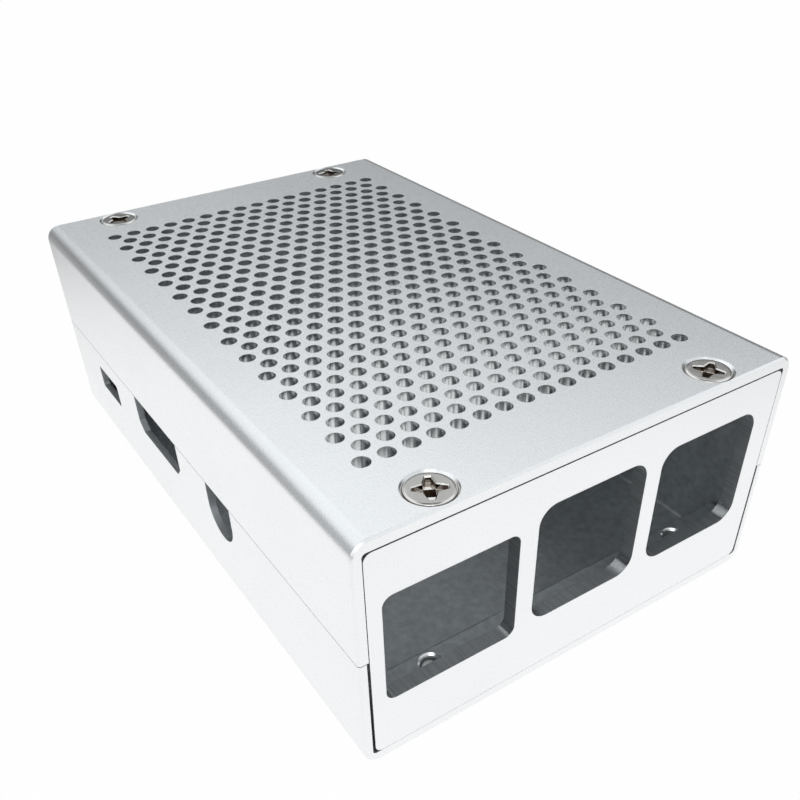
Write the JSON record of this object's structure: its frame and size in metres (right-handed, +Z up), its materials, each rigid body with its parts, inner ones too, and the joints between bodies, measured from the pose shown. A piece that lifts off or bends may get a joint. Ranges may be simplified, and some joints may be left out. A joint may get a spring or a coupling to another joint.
{
  "type": "single-board computer case",
  "caption": "Box-shaped aluminium case for a credit-card-sized circuit board: two U-shaped covers with a perforated top, screwed to end panels with port windows.",
  "frame": {"origin": "centre of the underside, where the case stands", "axes": "+X to the end with the three large port windows, -Y to the long side with the small ports, +Z up"},
  "size_m": [0.0938, 0.0604, 0.0318],
  "materials": {
    "anodised_aluminium": "bead-blasted, clear anodised",
    "nickel_plated_steel": "bright nickel plate",
    "zinc_plated_steel": "satin zinc plate"
  },
  "bodies": {
    "root": {"top_cover": "anodised_aluminium", "bottom_cover": "anodised_aluminium", "port_end_panel": "anodised_aluminium", "card_end_panel": "anodised_aluminium", "cover_screws": "nickel_plated_steel", "base_screws": "nickel_plated_steel", "board_standoffs": "zinc_plated_steel"}
  },
  "joints": []
}
